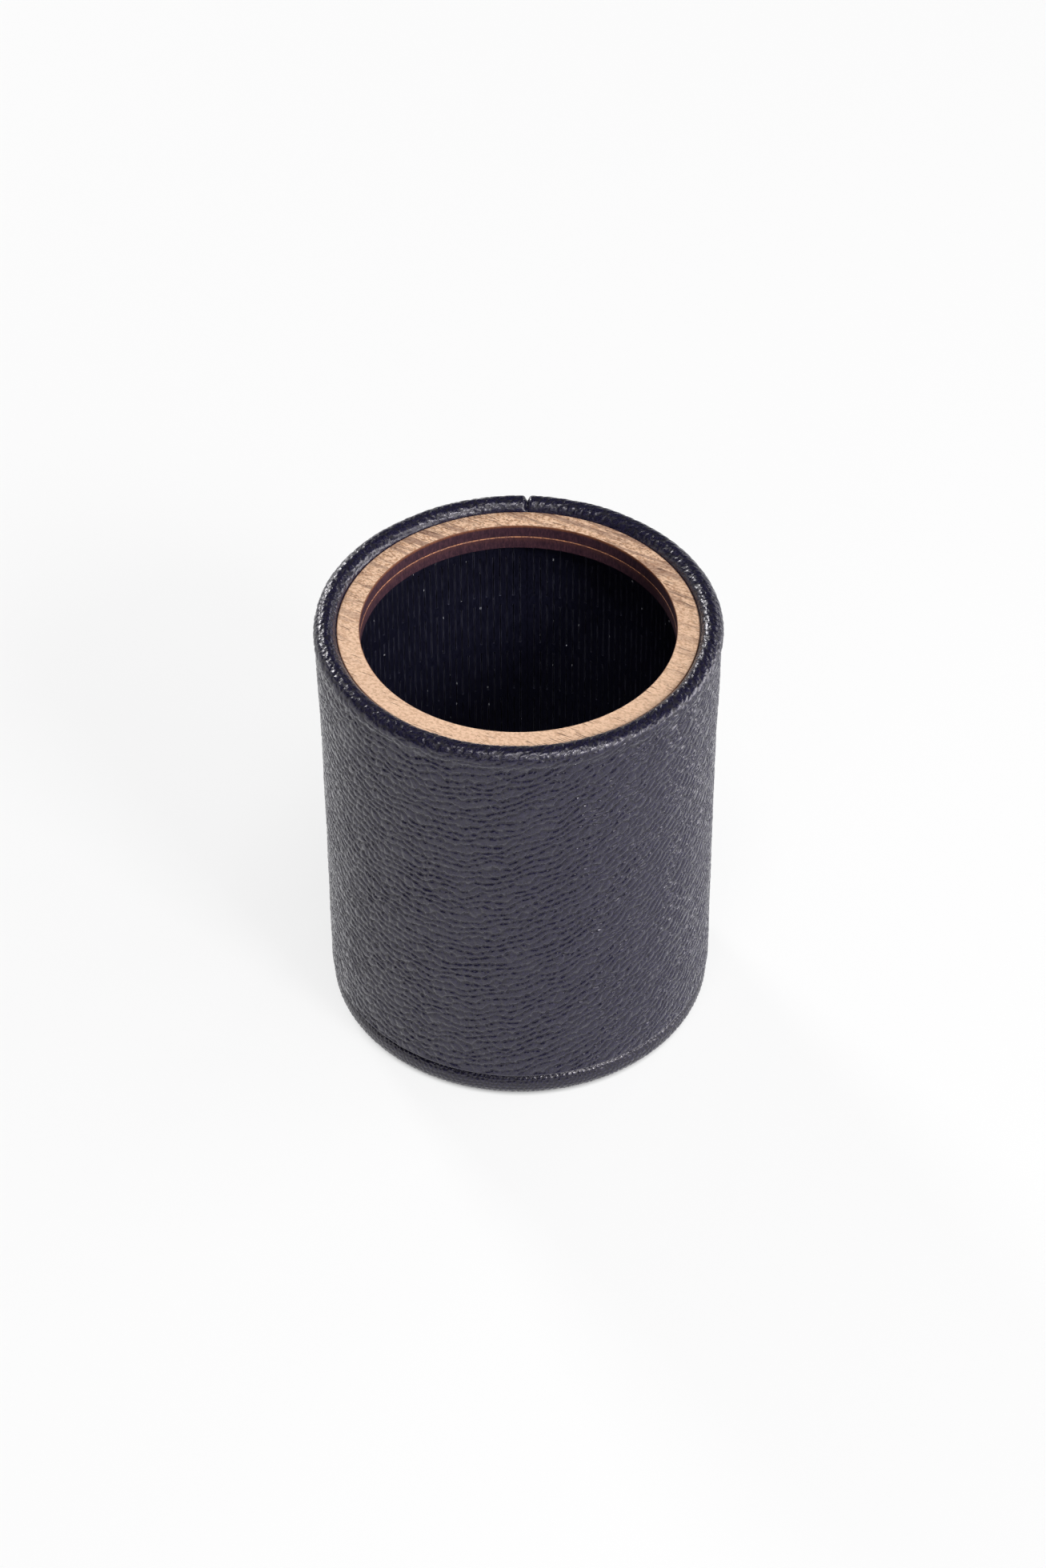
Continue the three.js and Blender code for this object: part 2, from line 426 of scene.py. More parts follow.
def burnt_edge_material():
    """The laser-cut edge of the rings: a dark scorched core, warmer just under the joint between the rings,
    a lighter top veneer, and a dotted pale line of glue in the joint."""
    m = new_material("burnt edge")
    core_dark = colour(0.030, 0.012, 0.022)
    core_light = colour(0.085, 0.034, 0.046)
    warm_brown = colour(0.13, 0.048, 0.040)
    veneer_brown = colour(0.24, 0.085, 0.035)
    glue_amber = colour(0.62, 0.26, 0.12)
    point = m.place()
    height = m.node("ShaderNodeSeparateXYZ", {0: point}).outputs[2]
    joint = (UPPER_RING_BOTTOM + LOWER_RING_TOP) / 2

    upright = m.noise(m.place((1.0, 1.0, 0.28)), 2.6, 5.0, 0.75)
    edge = m.mix(m.ramp(upright, 0.36, 0.68), core_dark, core_light)
    mottle = m.noise(m.place((1.0, 1.0, 0.6)), 1.3, 3.0, 0.7)
    below_joint = m.ramp(height, joint - 1.6, joint - 0.1)
    above_joint = m.ramp(height, joint + 0.1, joint)
    under_joint = m.math("MULTIPLY", below_joint, above_joint)
    warm = m.math("MULTIPLY", under_joint, m.ramp(mottle, 0.3, 0.7, 0.3, 1.0))
    edge = m.mix(m.math("MULTIPLY", warm, 0.7), edge, warm_brown)
    top_veneer = m.ramp(height, RING_TOP - 0.75, RING_TOP - 0.15, 0.0, 0.9)
    top_veneer = m.math("MULTIPLY", top_veneer, m.ramp(upright, 0.3, 0.6, 0.5, 1.0))
    edge = m.mix(top_veneer, edge, veneer_brown)

    wobble = m.math("MULTIPLY", m.math("SUBTRACT", m.noise(point, 0.5, 2.0), 0.5), 0.12)
    from_joint = m.math("ABSOLUTE", m.math("SUBTRACT", m.math("ADD", height, wobble), joint))
    dots = m.ramp(m.noise(point, 2.6, 3.0, 0.8), 0.42, 0.60, 0.15, 1.0)
    edge = m.mix(m.math("MULTIPLY", m.ramp(from_joint, 0.22, 0.10), dots), edge, glue_amber)
    return m.finish(Base_Color=edge, Roughness=0.55, Normal=m.bump(upright, 0.05), Specular_IOR_Level=0.4)


def black_board_material():
    m = new_material("black board")
    fibres = m.noise(m.place((1.0, 1.0, 0.25)), 3.0, 5.0, 0.7)
    base = m.mix(m.ramp(fibres, 0.35, 0.7), colour(0.0035, 0.0035, 0.0120), colour(0.009, 0.009, 0.026))
    gloss = m.ramp(fibres, 0.3, 0.7, 0.38, 0.55)
    return m.finish(Base_Color=base, Roughness=gloss, Normal=m.bump(fibres, 0.06), Specular_IOR_Level=0.45)


def slot_edge_highlight_material():
    """Painted highlight: the board beside each laser-cut slot and the cut walls are greyed lighter than the
    black board, standing in for the light their edges catch, with pale flecks here and there as painted
    glints.
    """
    m = new_material("ashen slot edge")
    highlight_patches = m.noise(m.place((1.0, 1.0, 0.2)), 1.2, 3.0, 0.7)
    # painted highlight: a patchy lighter grey where the cut edges would catch light
    base = m.mix(m.ramp(highlight_patches, 0.40, 0.62), colour(0.005, 0.005, 0.016), colour(0.050, 0.050, 0.080))
    # painted glints: pale flecks scattered over the slot edges
    flecks = m.ramp(m.cells(m.place(), 0.33), 0.11, 0.07)
    base = m.mix(flecks, base, colour(0.8, 0.8, 0.85))
    return m.finish(Base_Color=base, Roughness=0.7, Specular_IOR_Level=0.4)


def plain_board_material():
    m = new_material("bare board")
    fibres = m.noise(m.place((1.0, 1.0, 2.0)), 1.6, 5.0, 0.7)
    base = m.mix(m.ramp(fibres, 0.35, 0.68), colour(0.22, 0.13, 0.07), colour(0.33, 0.21, 0.12))
    return m.finish(Base_Color=base, Roughness=0.8, Normal=m.bump(fibres, 0.08))


def felt_material():
    m = new_material("black felt")
    fluff = m.noise(m.place(), 1.9, 6.0, 0.75, 0.8)
    strands = m.noise(m.place((0.5, 2.5, 1.0), 0.7), 1.3, 5.0, 0.7, 1.5)
    base = m.mix(m.ramp(fluff, 0.35, 0.7), colour(0.008, 0.008, 0.009), colour(0.035, 0.035, 0.038))
    relief = m.math("ADD", fluff, m.math("MULTIPLY", strands, 0.7))
    return m.finish(Base_Color=base, Roughness=0.95, Normal=m.bump(relief, 0.25), Sheen_Weight=0.35)


# ---------------------------------------------------------------- leather wall

WALL_EDGE_ROUND = 0.5
SPREAD = 0.48  # how much the wall's radius grows towards the rim
SPREAD_HEIGHT = 30  # the height over which it grows
FLARE = 2.6  # the height of the curve from there into the rolled rim
FLARE_PULL = 0.4  # how far that curve holds on to the wall's direction, in shares of its height
ROLL_PULL = 0.35  # and how far to the roll's direction
ROLL_START = -26  # degrees round the roll at which the curve meets it
GRAIN_DEPTH = 0.43
RIM_GRAIN = 0.30  # the share of the grain's depth that stays on the rim
GRAIN_FROM_FOOT = (0.9, 1.9)  # along the outline, where the grain fades in above the wall's lower edge
GRAIN_FROM_END = (0.4, 1.6)  # and fades out before the leather goes in behind the rings
SWELL = 0.06  # depth of the slow waves in the glued leather
SWELL_LENGTH = 22.0
CLIMB_RIGHT = 0.45  # slopes of the rows of pebbles, which are lowest near the front and climb to both sides
CLIMB_LEFT = 0.12
CLIMB_CENTRE = -8
CLIMB_ROUND = 10
SEAM_GAP = 0.05
SEAM_CALM = 0.7  # the grain is shallower within about this distance of the seam
SEAM_PULL = 2.5  # the points beside the seam are drawn apart, and less so over this distance
LIP_DEPTH = 0.45  # how far the cut edges dip into the seam, on the wall and on the rim
RIM_LIP_DEPTH = 1.1
RIM_GAP = 0.03  # added to each side of the gap on top of the rim
HIDDEN_HEIGHTS = (60, 30)  # where the long hidden side is divided


def wall_outside():
    """The seen side of the wall's leather, from under its lower edge up and over the rolled rim."""
    inner_r = SLEEVE_OUTER_R + GLUE
    low_corner = (WALL_R - WALL_EDGE_ROUND, WALL_BOTTOM + WALL_EDGE_ROUND)
    roll = arc(CROWN_R, CROWN_Z, CROWN_RADIUS, ROLL_START, 180, 60)
    lean = (math.sin(math.radians(-ROLL_START)), math.cos(math.radians(ROLL_START)))
    flare_bottom = (WALL_R + SPREAD, roll[0, 1] - FLARE)
    spread_z = np.linspace(flare_bottom[1] - SPREAD_HEIGHT, flare_bottom[1], 11)
    spread_r = WALL_R + SPREAD * smooth_step(spread_z, spread_z[0], spread_z[-1])
    above_wall = (flare_bottom[0], flare_bottom[1] + FLARE * FLARE_PULL)
    before_roll = (roll[0, 0] - lean[0] * FLARE * ROLL_PULL, roll[0, 1] - lean[1] * FLARE * ROLL_PULL)
    return joined(
        line((inner_r, WALL_BOTTOM), (low_corner[0], WALL_BOTTOM), 2),
        arc(*low_corner, WALL_EDGE_ROUND, -90, 0, 6),
        line((WALL_R, low_corner[1]), (WALL_R, spread_z[0]), 2),
        np.stack([spread_r, spread_z], axis=-1),
        bezier(flare_bottom, above_wall, before_roll, roll[0], 16),
        roll,
    )


def wall_inside():
    """The hidden side: down behind the rings, up inside the sleeve, over its top and down the outside."""
    half = (SLEEVE_OUTER_R - SLEEVE_INNER_R) / 2
    middle = SLEEVE_INNER_R + half
    behind_rings = RING_OUTER_R + GLUE
    return np.vstack([
        line((behind_rings, CROWN_Z - 1), (behind_rings, LOWER_RING_BOTTOM), 3),
        [(SLEEVE_INNER_R - GLUE, LOWER_RING_BOTTOM)],
        arc(middle, CROWN_Z, half + GLUE, 180, 0, 10),
        [(SLEEVE_OUTER_R + GLUE, z) for z in HIDDEN_HEIGHTS],
    ])


def climb_of_rows(along):
    """How far the rows of pebbles have climbed at each place round the wall."""
    from_front = along - along[-1] / 2 - CLIMB_CENTRE
    both_sides = (CLIMB_RIGHT + CLIMB_LEFT) / 2 * np.hypot(from_front, CLIMB_ROUND)
    return both_sides + (CLIMB_RIGHT - CLIMB_LEFT) / 2 * from_front


def wall_relief(length, along, on_rim, grained):
    """How far the wall's leather stands out from its plain outline, and how much of a crease each point is.
    The rows are points of the outline and the columns are places round the wall."""
    rows_grid, columns_grid = np.meshgrid(length, along, indexing="ij")
    pebble_height, crease = leather_grain(columns_grid, rows_grid - climb_of_rows(along), 11, even=on_rim)
    relief = (pebble_height - 1) * (1 - (1 - RIM_GRAIN) * on_rim)
    to_seam = np.minimum(along, along[-1] - along)
    calm = 1 - 0.7 * np.exp(-((to_seam / SEAM_CALM) ** 2))
    lip = (LIP_DEPTH + (RIM_LIP_DEPTH - LIP_DEPTH) * on_rim) * grained
    lip_drop = lip * np.exp(-((to_seam / (0.35 + 0.05 * on_rim)) ** 1.5))
    swell = SWELL * slow_noise(columns_grid, rows_grid, SWELL_LENGTH, 5) * grained
    return GRAIN_DEPTH * relief * grained * calm - lip_drop + swell, crease * grained


def wall_angles(outside, along, share, on_rim):
    """Angles of the wall's points, which part at the seam, and more so on top of the rim."""
    roll_angle = np.arctan2(outside[:, 1:] - CROWN_Z, outside[:, :1] - CROWN_R)
    on_top = np.sin(np.clip(roll_angle, 0, math.pi)) ** 1.5
    half_gap = SEAM_GAP / 2 + RIM_GAP * on_rim * on_top
    to_seam = np.minimum(along, along[-1] - along)
    side = np.where(share < 0.5, 1.0, -1.0)
    return SEAM_ANGLE + share * TURN + side * half_gap / WALL_R * np.exp(-to_seam / SEAM_PULL)


def make_wall_leather(material):
    outside, length = spaced(wall_outside(), GRAIN_STEP)
    columns = int(TURN * WALL_R / GRAIN_STEP)
    share = np.linspace(0, 1, columns)
    along = share * TURN * WALL_R
    on_rim = smooth_step(outside[:, 1:], CROWN_Z - 0.4, CROWN_Z + 1.5)
    grained = smooth_step(length, *GRAIN_FROM_FOOT) * smooth_step(length[-1] - length, *GRAIN_FROM_END)
    stand_out, crease = wall_relief(length, along, on_rim, grained[:, None])
    normal = outward(outside)
    radius = outside[:, :1] + normal[:, :1] * stand_out
    level = outside[:, 1:] + normal[:, 1:] * stand_out
    seen = around(radius, level, wall_angles(outside, along, share, on_rim))

    inside = wall_inside()
    inner_angle = SEAM_ANGLE + SEAM_GAP / 2 / WALL_R + share * (TURN - SEAM_GAP / WALL_R)
    inner_r, inner_angles = np.meshgrid(inside[:, 0], inner_angle, indexing="ij")
    inner_z = np.repeat(inside[:, 1:], columns, axis=1)
    unseen = around(inner_r, inner_z, inner_angles)

    rows = len(outside) + len(inside)
    quads = grid_quads(rows, columns, wrap_rows=True)
    first_column = np.arange(rows) * columns
    ends = [first_column[None, ::-1], first_column[None, :] + columns - 1]
    plain = np.zeros(len(unseen))
    rim = np.repeat(on_rim, columns, axis=1)
    # the crease values mark where the leather's material paints shade into the creases
    values = {
        "crease": np.concatenate([crease.ravel(), plain]),
        "rim": np.concatenate([rim.ravel(), plain]),
    }
    vertices = np.vstack([seen, unseen])
    piece = make_piece("wall_leather_skin", vertices, [quads, *ends], material, values=values)
    stand_for(piece, "wall_leather")


# ---------------------------------------------------------------- rings

RING_SEGMENTS = 256
RING_BEVEL = 0.10


def make_ring(name, node, bottom, top, materials):
    """A laser-cut ring: flat veneered faces and scorched edges with a hairline bevel."""
    b = RING_BEVEL
    corners = np.array([
        (RING_INNER_R + b, top), (RING_INNER_R, top - b),
        (RING_INNER_R, bottom + b), (RING_INNER_R + b, bottom),
        (RING_OUTER_R - b, bottom), (RING_OUTER_R, bottom + b),
        (RING_OUTER_R, top - b), (RING_OUTER_R - b, top),
    ])
    angle = np.arange(RING_SEGMENTS) * TURN / RING_SEGMENTS
    radius, angles = np.meshgrid(corners[:, 0], angle, indexing="ij")
    height = np.repeat(corners[:, 1:], RING_SEGMENTS, axis=1)
    quads = grid_quads(len(corners), RING_SEGMENTS, wrap_rows=True, wrap_columns=True)
    face_row = np.repeat(np.arange(len(corners)), RING_SEGMENTS)
    bottom_face, top_face = 3, 7  # the rows of quads after the corners of those numbers
    veneered = (face_row == bottom_face) | (face_row == top_face)
    piece = make_piece(
        name, around(radius, height, angles), [quads], materials, smooth=False, material_index=~veneered
    )
    stand_for(piece, node)


# ---------------------------------------------------------------- kerfed sleeve

KERF_COLUMNS = 166
KERF_HALF = 0.09  # half the width of a slot
KERF_TIP_HALF = KERF_HALF * 0.8  # and at its very end
KERF_DOT_HALF = 0.20  # half the width of the burnt dot at a slot's end
KERF_DOT = 0.42  # the dot's height
KERF_ROW = 13.4  # from one row of bridges down to the next, which is in the other columns
KERF_BRIDGE = 2.4  # height of board left between two slots of a column
KERF_FIRST_ROW = 5.6  # from the rings down to the first row of bridges
KERF_HIGHLIGHT = 0.09  # width of the painted highlight on the board beside a slot
SOLID_FOOT = 4.0  # board without slots at the sleeve's foot
SOLID_TOP = 3.0  # and below its rounded top
SLEEVE_GAP = 0.12  # the butt joint at the back


def kerf_levels():
    """Heights of the sleeve's mesh rows, with the half width of the slots there and whether the board
    above that height is bridged, both for the even and for the odd columns."""
    bridges = np.arange(LOWER_RING_BOTTOM - KERF_FIRST_ROW, WALL_BOTTOM, -KERF_ROW)
    solid_low, solid_high = WALL_BOTTOM + SOLID_FOOT, CROWN_Z - SOLID_TOP
    marks = {WALL_BOTTOM, solid_low, solid_high, CROWN_Z}
    for z in bridges:
        for side in (-1, 1):
            marks |= {z + side * (KERF_BRIDGE / 2 + share * KERF_DOT) for share in (0, 0.3, 0.7, 1.0)}
    heights = np.array(sorted(z for z in marks if WALL_BOTTOM <= z <= CROWN_Z))
    half = np.full((len(heights), 2), KERF_HALF)
    bridged = np.zeros((len(heights), 2), bool)
    middle = (heights + np.append(heights[1:], heights[-1] + 1)) / 2
    for number, z in enumerate(bridges):
        parity = number % 2
        from_bridge = np.abs(heights - z) - KERF_BRIDGE / 2
        half[np.abs(from_bridge - KERF_DOT / 2) < KERF_DOT * 0.3, parity] = KERF_DOT_HALF
        half[np.abs(from_bridge) < 1e-6, parity] = KERF_TIP_HALF
        bridged[:, parity] |= np.abs(middle - z) < KERF_BRIDGE / 2
    bridged |= ((middle < solid_low) | (middle > solid_high))[:, None]
    return heights, half, bridged


def with_round_top(heights, half, bridged):
    """The same rows, followed by those of the board's rounded top, and the two radii of each row."""
    half_board = (SLEEVE_OUTER_R - SLEEVE_INNER_R) / 2
    slope = np.radians((30, 60, 80))
    reach = half_board * np.concatenate([np.ones(len(heights)), np.cos(slope)])
    heights = np.append(heights, CROWN_Z + half_board * np.sin(slope))
    half = np.vstack([half, half[[-1] * len(slope)]])
    bridged = np.vstack([bridged, np.ones((len(slope), 2), bool)])
    middle_r = SLEEVE_INNER_R + half_board
    return heights, half, bridged, middle_r - reach, middle_r + reach


def slot_edges(half):
    """Angles of the sleeve's mesh columns: the joint, then four for each slot and its sides, which carry
    painted highlight.
    """
    gap = SLEEVE_GAP / SLEEVE_INNER_R
    pitch = (TURN - gap) / (KERF_COLUMNS + 1)
    slot_angle = SEAM_ANGLE + gap / 2 + pitch * np.arange(1, KERF_COLUMNS + 1)
    opening = half[:, np.arange(KERF_COLUMNS) % 2] / SLEEVE_INNER_R
    highlight_angle = KERF_HIGHLIGHT / SLEEVE_INNER_R
    edges = np.empty((len(half), 4 * KERF_COLUMNS + 2))
    edges[:, 0] = SEAM_ANGLE + gap / 2
    edges[:, -1] = SEAM_ANGLE + TURN - gap / 2
    for number, offset in enumerate((-opening - highlight_angle, -opening, opening, opening + highlight_angle)):
        edges[:, 1 + number : -1 : 4] = slot_angle + offset
    return edges


def walls_between(index, before, after, along_row):
    """Quads through the board wherever there is board on one side of a mesh line only."""
    row, column = np.nonzero(before != after)
    start = index[row, column]
    end = index[row, column + 1] if along_row else index[row + 1, column]
    far = index.size
    order = [start, start + far, end + far, end] if along_row else [start, end, end + far, start + far]
    quads = np.stack(order, axis=-1)
    turned_round = before[row, column]
    quads[turned_round] = quads[turned_round][:, ::-1]
    return quads


def make_sleeve(materials):
    """Board bent round by slots cut through it: an inner and an outer sheet, and the walls between them."""
    heights, half, bridged, inner_r, outer_r = with_round_top(*kerf_levels())
    edges = slot_edges(half)
    rows, columns = edges.shape
    inside = around(*np.broadcast_arrays(inner_r[:, None], heights[:, None], edges))
    outside = around(*np.broadcast_arrays(outer_r[:, None], heights[:, None], edges))

    bridged_here = bridged[: rows - 1, np.arange(KERF_COLUMNS) % 2]
    there = np.ones((rows - 1, columns - 1), bool)
    there[:, 2::4] = bridged_here
    painted_highlight = np.zeros((rows - 1, columns - 1), bool)
    for beside_slot in (1, 3):
        painted_highlight[:, beside_slot::4] = ~bridged_here

    index = np.arange(rows * columns).reshape(rows, columns)
    sheet = grid_quads(rows, columns)[there.ravel()]
    padded = np.pad(there, 1)
    sides = walls_between(index, padded[1:-1, :-1], padded[1:-1, 1:], along_row=False)
    shelves = walls_between(index, padded[:-1, 1:-1], padded[1:, 1:-1], along_row=True)
    faces = np.vstack([sheet[:, ::-1], sheet + index.size, sides, shelves])
    # painted highlight: the slot walls and the board's cut edges take the second material, as the strips
    # beside the slots do
    burnt = np.ones(len(sides) + len(shelves), bool)
    piece = make_piece(
        "kerfed_sleeve", np.vstack([inside, outside]), [faces], materials, smooth=False,
        material_index=np.concatenate([painted_highlight[there], painted_highlight[there], burnt]),
    )
    stand_for(piece, "wall_sleeve")


# ---------------------------------------------------------------- floor, base and foot

DISC_SEGMENTS = 192
FLOOR_BEVEL = 0.15
MARGIN_GAP = 0.35  # between the felt and the leather's turned-in margin
BEAD_CELL = (1.2, 1.0)  # the base's grain is finer and rounder than the wall's
BEAD_GRAIN = 0.42  # the share of the wall's grain depth
BEAD_FADE = 12.0  # the grain closes on itself over this length
PLEATS = 46
PLEAT_DEPTH = 0.16
FELT_SOFT = 0.3  # radius of the felt's soft edge
FELT_RINGS = 90
FELT_SEGMENTS = 360


def turned(name, outline, material, segments=DISC_SEGMENTS):
    """A solid turned from an outline that starts and ends on the axis."""
    ring = np.asarray(outline)[1:-1]
    angle = np.arange(segments) * TURN / segments
    radius, angles = np.meshgrid(ring[:, 0], angle, indexing="ij")
    height = np.repeat(ring[:, 1:], segments, axis=1)
    poles = np.array([(0, 0, outline[0][1]), (0, 0, outline[-1][1])])
    vertices = np.vstack([around(radius, height, angles), poles])
    first, last = len(ring) * segments, len(ring) * segments + 1
    step = np.arange(segments)
    after = (step + 1) % segments
    top_row = (len(ring) - 1) * segments
    bottom_fan = np.stack([np.full(segments, first), after, step], axis=-1)
    top_fan = np.stack([np.full(segments, last), top_row + step, top_row + after], axis=-1)
    quads = grid_quads(len(ring), segments, wrap_columns=True)
    return make_piece(name, vertices, [quads, bottom_fan, top_fan], material, smooth=False)


def make_floor(material):
    b = FLOOR_BEVEL
    outline = [
        (0, FLOOR_BOTTOM), (FLOOR_R - b, FLOOR_BOTTOM), (FLOOR_R, FLOOR_BOTTOM + b),
        (FLOOR_R, FLOOR_TOP - b), (FLOOR_R - b, FLOOR_TOP), (0, FLOOR_TOP),
    ]
    stand_for(turned("inner_floor", outline, material), "floor_disc")


def base_outside():
    """The seen side of the base's leather: under margin, rounded edge, upper margin."""
    round_r = BASE_R - BASE_ROUND
    return joined(
        line((FELT_R + MARGIN_GAP, BASE_BOTTOM), (round_r, BASE_BOTTOM), 2),
        arc(round_r, BASE_BOTTOM + BASE_ROUND, BASE_ROUND, -90, 0, 16),
        arc(round_r, BASE_TOP - BASE_ROUND, BASE_ROUND, 0, 90, 16),
        line((round_r, BASE_TOP), (round_r - 2.5, BASE_TOP), 2),
    )


def base_inside():
    """The side that is glued to the base plate."""
    round_r = BASE_R - BASE_ROUND
    small = BASE_ROUND - BASE_LEATHER
    margin_z = BASE_BOTTOM + BASE_LEATHER
    return np.vstack([
        line((round_r - 6, BASE_TOP), (round_r - 6, BASE_TOP - BASE_LEATHER), 1),
        arc(round_r, BASE_TOP - BASE_ROUND, small, 90, 0, 8),
        arc(round_r, BASE_BOTTOM + BASE_ROUND, small, 0, -90, 8),
        line((FELT_R + 0.8, margin_z), (FELT_R + MARGIN_GAP, margin_z), 1),
    ])


def base_grain(length, along):
    """The base's grain. Over its last stretch it fades into grain that starts there, so that it closes."""
    rows_grid, columns_grid = np.meshgrid(length, along, indexing="ij")
    height, crease = leather_grain(columns_grid, rows_grid, 47, BEAD_CELL, 1.0)
    again, crease_again = leather_grain(columns_grid - along[-1] - GRAIN_STEP, rows_grid, 47, BEAD_CELL, 1.0)
    fade = smooth_step(along, along[-1] - BEAD_FADE, along[-1])
    return height * (1 - fade) + again * fade, crease * (1 - fade) + crease_again * fade


def base_pleats(outside, angle):
    """The small pleats of the margin that is turned in under the base."""
    margin = smooth_step(outside[:, 0], BASE_R - 2.0, FELT_R + 1.0)
    under = (outside[:, 1] < BASE_BOTTOM + 1.2) * margin
    wave = np.sin(angle * PLEATS + 1.3 * np.sin(angle * 7) + 0.8 * np.sin(angle * 3))
    return PLEAT_DEPTH * under[:, None] * np.minimum(wave, 0.2)


def make_base_leather(material):
    outside, length = spaced(base_outside(), GRAIN_STEP)
    columns = int(TURN * BASE_R / GRAIN_STEP)
    angle = SEAM_ANGLE + np.arange(columns) * TURN / columns
    height, crease = base_grain(length, np.arange(columns) * GRAIN_STEP)
    upper = smooth_step(outside[:, 0], BASE_R - 5.0, BASE_R - 3.2)
    grained = np.where(outside[:, 1] > BASE_TOP - 0.01, upper, 1.0)[:, None]
    stand_out = GRAIN_DEPTH * (height - 1) * BEAD_GRAIN * grained + base_pleats(outside, angle)
    normal = outward(outside)
    radius = outside[:, :1] + normal[:, :1] * stand_out
    level = outside[:, 1:] + normal[:, 1:] * stand_out
    seen = around(radius, level, np.broadcast_to(angle, radius.shape))

    inside = base_inside()
    inner_r, angles = np.meshgrid(inside[:, 0], angle, indexing="ij")
    unseen = around(inner_r, np.repeat(inside[:, 1:], columns, axis=1), angles)
    quads = grid_quads(len(outside) + len(inside), columns, wrap_rows=True, wrap_columns=True)
    # the crease values mark where the leather's material paints shade into the creases
    values = {"crease": np.concatenate([(crease * grained).ravel(), np.zeros(len(unseen))])}
    piece = make_piece("base_leather_skin", np.vstack([seen, unseen]), [quads], material, values=values)
    stand_for(piece, "base_leather")


def make_felt(material):
    """The foot: a felt disc with a soft lower edge."""
    soft_r = FELT_R - FELT_SOFT
    soft_z = FELT_BOTTOM + FELT_SOFT
    face = np.stack([np.linspace(0, soft_r, FELT_RINGS), np.full(FELT_RINGS, FELT_BOTTOM)], axis=-1)
    outline = joined(
        face,
        arc(soft_r, soft_z, FELT_SOFT, -90, 0, 4),
        line((FELT_R, soft_z), (FELT_R, FELT_TOP), 1),
        line((FELT_R, FELT_TOP), (0, FELT_TOP), 2),
    )
    stand_for(turned("felt_foot", outline, material, segments=FELT_SEGMENTS), "base_felt")


def dress_plate(material):
    """The base plate is hidden inside the base's leather, so its CAD mesh only gets its material."""
    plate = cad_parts["base_plate"]
    plate.data.materials.clear()
    plate.data.materials.append(material)


# ---------------------------------------------------------------- room, light and camera


# Strengths of the world's own dark grey.
ROOM_LIGHT = 0.05  # all round
BACK_LIGHT = 0.7  # low behind the cup
HORIZON_LIGHT = 16.0  # in a band above the floor's end, which makes it nearly as pale as the floor
HORIZON_TOP = (0.07, 0.09)  # the band ends between these sines of the elevation

FLOOR_HALF = 8.0  # metres
FLOOR_GREY = 0.176
FLOOR_GLOW = 0.765  # the white floor shines like an overexposed one, but not under the cup, where the missing glow is a painted contact shadow
CONTACT_SHADOW_EDGE = (BASE_R - 3.0, BASE_R - 0.6)  # painted contact shadow: the glow starts between these distances from the cup's middle


def make_studio_floor():
    m = new_material("pale floor")
    # painted contact shadow: no glow under the cup, rising to full glow just inside its edge
    glow = m.ramp(m.length(m.place()), *CONTACT_SHADOW_EDGE, 0.0, FLOOR_GLOW)
    material = m.finish(
        Base_Color=colour(FLOOR_GREY, FLOOR_GREY, FLOOR_GREY), Roughness=0.8, Specular_IOR_Level=0.1,
        Emission_Color=colour(1.0, 1.0, 1.0), Emission_Strength=glow,
    )
    mesh = bpy.data.meshes.new("studio_floor")
    signs = ((-1, -1), (1, -1), (1, 1), (-1, 1))
    mesh.from_pydata([(x * FLOOR_HALF, y * FLOOR_HALF, 0) for x, y in signs], [], [(0, 1, 2, 3)])
    mesh.materials.append(material)
    floor = bpy.data.objects.new("studio_floor", mesh)
    bpy.context.scene.collection.objects.link(floor)


def make_world():
    """Dim light all round, more of it from low behind the cup, and a pale band above the floor's end."""
    world = Nodes(bpy.data.worlds.new("studio"))
    toward = world.node("ShaderNodeTexCoord").outputs["Generated"]
    _, back, height = world.node("ShaderNodeSeparateXYZ", {0: toward}).outputs
    behind = world.ramp(back, 0.35, 1.0, 0.0, BACK_LIGHT - ROOM_LIGHT)
    low = world.ramp(height, 0.1, 0.5, 1.0, 0.0)
    band = world.ramp(height, *HORIZON_TOP, HORIZON_LIGHT, ROOM_LIGHT, kind="LINEAR")
    strength = world.math("MULTIPLY_ADD", behind, low, band)
    world.set(world.tree.nodes["Background"].inputs["Strength"], strength)
    bpy.context.scene.world = world.owner
    bpy.context.scene.view_settings.view_transform = "Standard"


LAMP_AIM = Vector((0, 0, 0.06))
LAMPS = {  # azimuth and elevation in degrees, distance and size in metres, watts
    "key": (42, 36, 1.6, (0.35, 0.35), 11),
    "left_rim": (-145, 26, 1.4, (0.28, 0.34), 8.5),
    "right_rim": (145, 26, 1.4, (0.28, 0.34), 1.5),
    "left_side": (-100, 12, 1.3, (1.0, 0.6), 1.5),
    "front": (-6, 35, 1.4, (0.9, 0.3), 1.9),
    "fill": (52, 24, 1.3, (0.9, 0.8), 7.0),
    "right_side": (100, 10, 1.3, (1.0, 0.5), 12),
    "overhead": (10, 70, 1.8, (0.7, 0.5), 13),
}


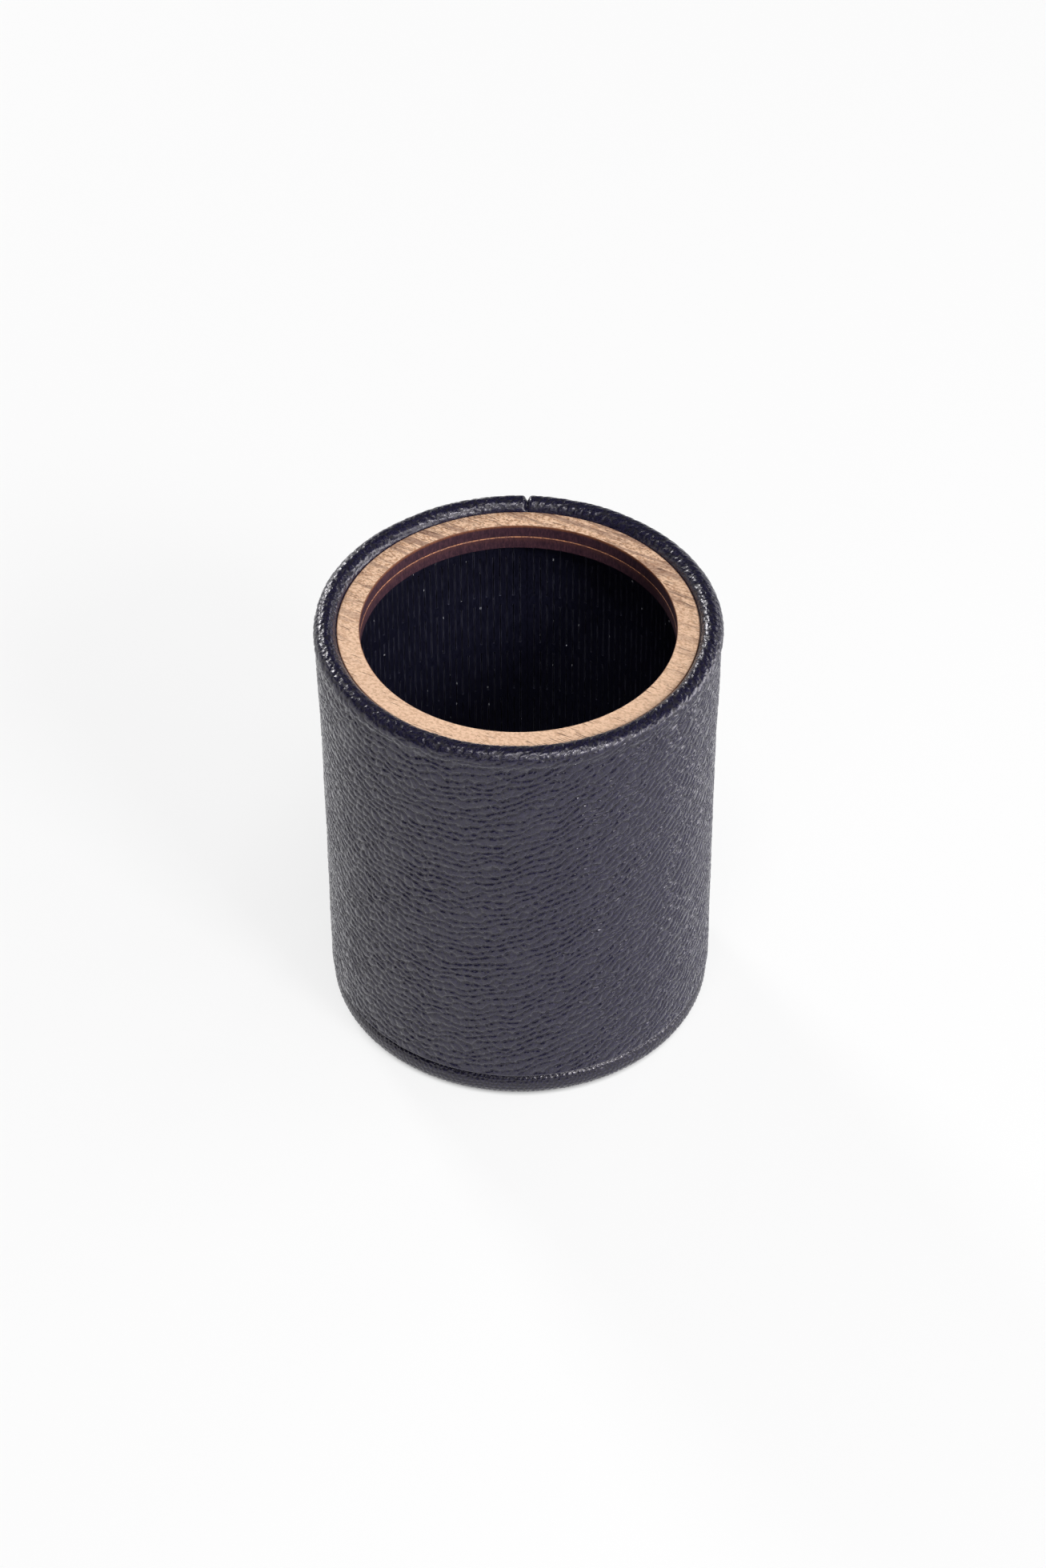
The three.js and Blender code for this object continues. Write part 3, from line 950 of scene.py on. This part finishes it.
def soft_box(name, azimuth, elevation, distance, size, watts):
    """An area lamp aimed at the cup; azimuth 0 is in front of it and 90 to its right."""
    lamp = bpy.data.lights.new(name, "AREA")
    lamp.shape = "RECTANGLE"
    lamp.size, lamp.size_y = size
    lamp.energy = watts
    holder = bpy.data.objects.new(name, lamp)
    a, e = math.radians(azimuth), math.radians(elevation)
    away = Vector((math.sin(a) * math.cos(e), -math.cos(a) * math.cos(e), math.sin(e)))
    holder.location = LAMP_AIM + away * distance
    holder.rotation_euler = (-away).to_track_quat("-Z", "Y").to_euler()
    bpy.context.scene.collection.objects.link(holder)


CAMERA_PITCH = 42.54
CAMERA_TURN = 2.8  # the camera stands this far round to the cup's right, so the seam is right of the middle
CAMERA_ROLL = -0.27
CAMERA_DISTANCE = 0.8755  # metres
CAMERA_LENS = 94.1
CAMERA_SENSOR = 36
AIM_RIGHT = 0.81
AIM_BELOW_RIM = 44.3


def make_camera():
    camera = bpy.data.objects.new("camera", bpy.data.cameras.new("camera"))
    camera.data.sensor_width = CAMERA_SENSOR
    camera.data.lens = CAMERA_LENS
    turn, pitch = math.radians(CAMERA_TURN), math.radians(CAMERA_PITCH)
    right = Vector((math.cos(turn), math.sin(turn), 0))
    back = Vector((math.sin(turn) * math.cos(pitch), -math.cos(turn) * math.cos(pitch), math.sin(pitch)))
    up = back.cross(right)
    aim = right * AIM_RIGHT * MM + Vector((0, 0, (RING_TOP - AIM_BELOW_RIM) * MM))
    axes = Matrix((right, up, back)).transposed().to_4x4()
    place = Matrix.Translation(aim + back * CAMERA_DISTANCE)
    camera.matrix_world = place @ axes @ Matrix.Rotation(math.radians(CAMERA_ROLL), 4, "Z")
    bpy.context.scene.collection.objects.link(camera)
    bpy.context.scene.camera = camera


# ---------------------------------------------------------------- the cup

leather = leather_material()
black_board = black_board_material()
ring_materials = [veneer_material(), burnt_edge_material()]

make_wall_leather(leather)
make_base_leather(leather)
make_ring("upper_ring", "rim_ring_upper", UPPER_RING_BOTTOM, RING_TOP, ring_materials)
make_ring("lower_ring", "rim_ring_lower", LOWER_RING_BOTTOM, LOWER_RING_TOP, ring_materials)
make_sleeve([black_board, slot_edge_highlight_material()])
make_floor(black_board)
make_felt(felt_material())
dress_plate(plain_board_material())

make_studio_floor()
make_world()
for lamp_name, lamp_settings in LAMPS.items():
    soft_box(lamp_name, *lamp_settings)
make_camera()
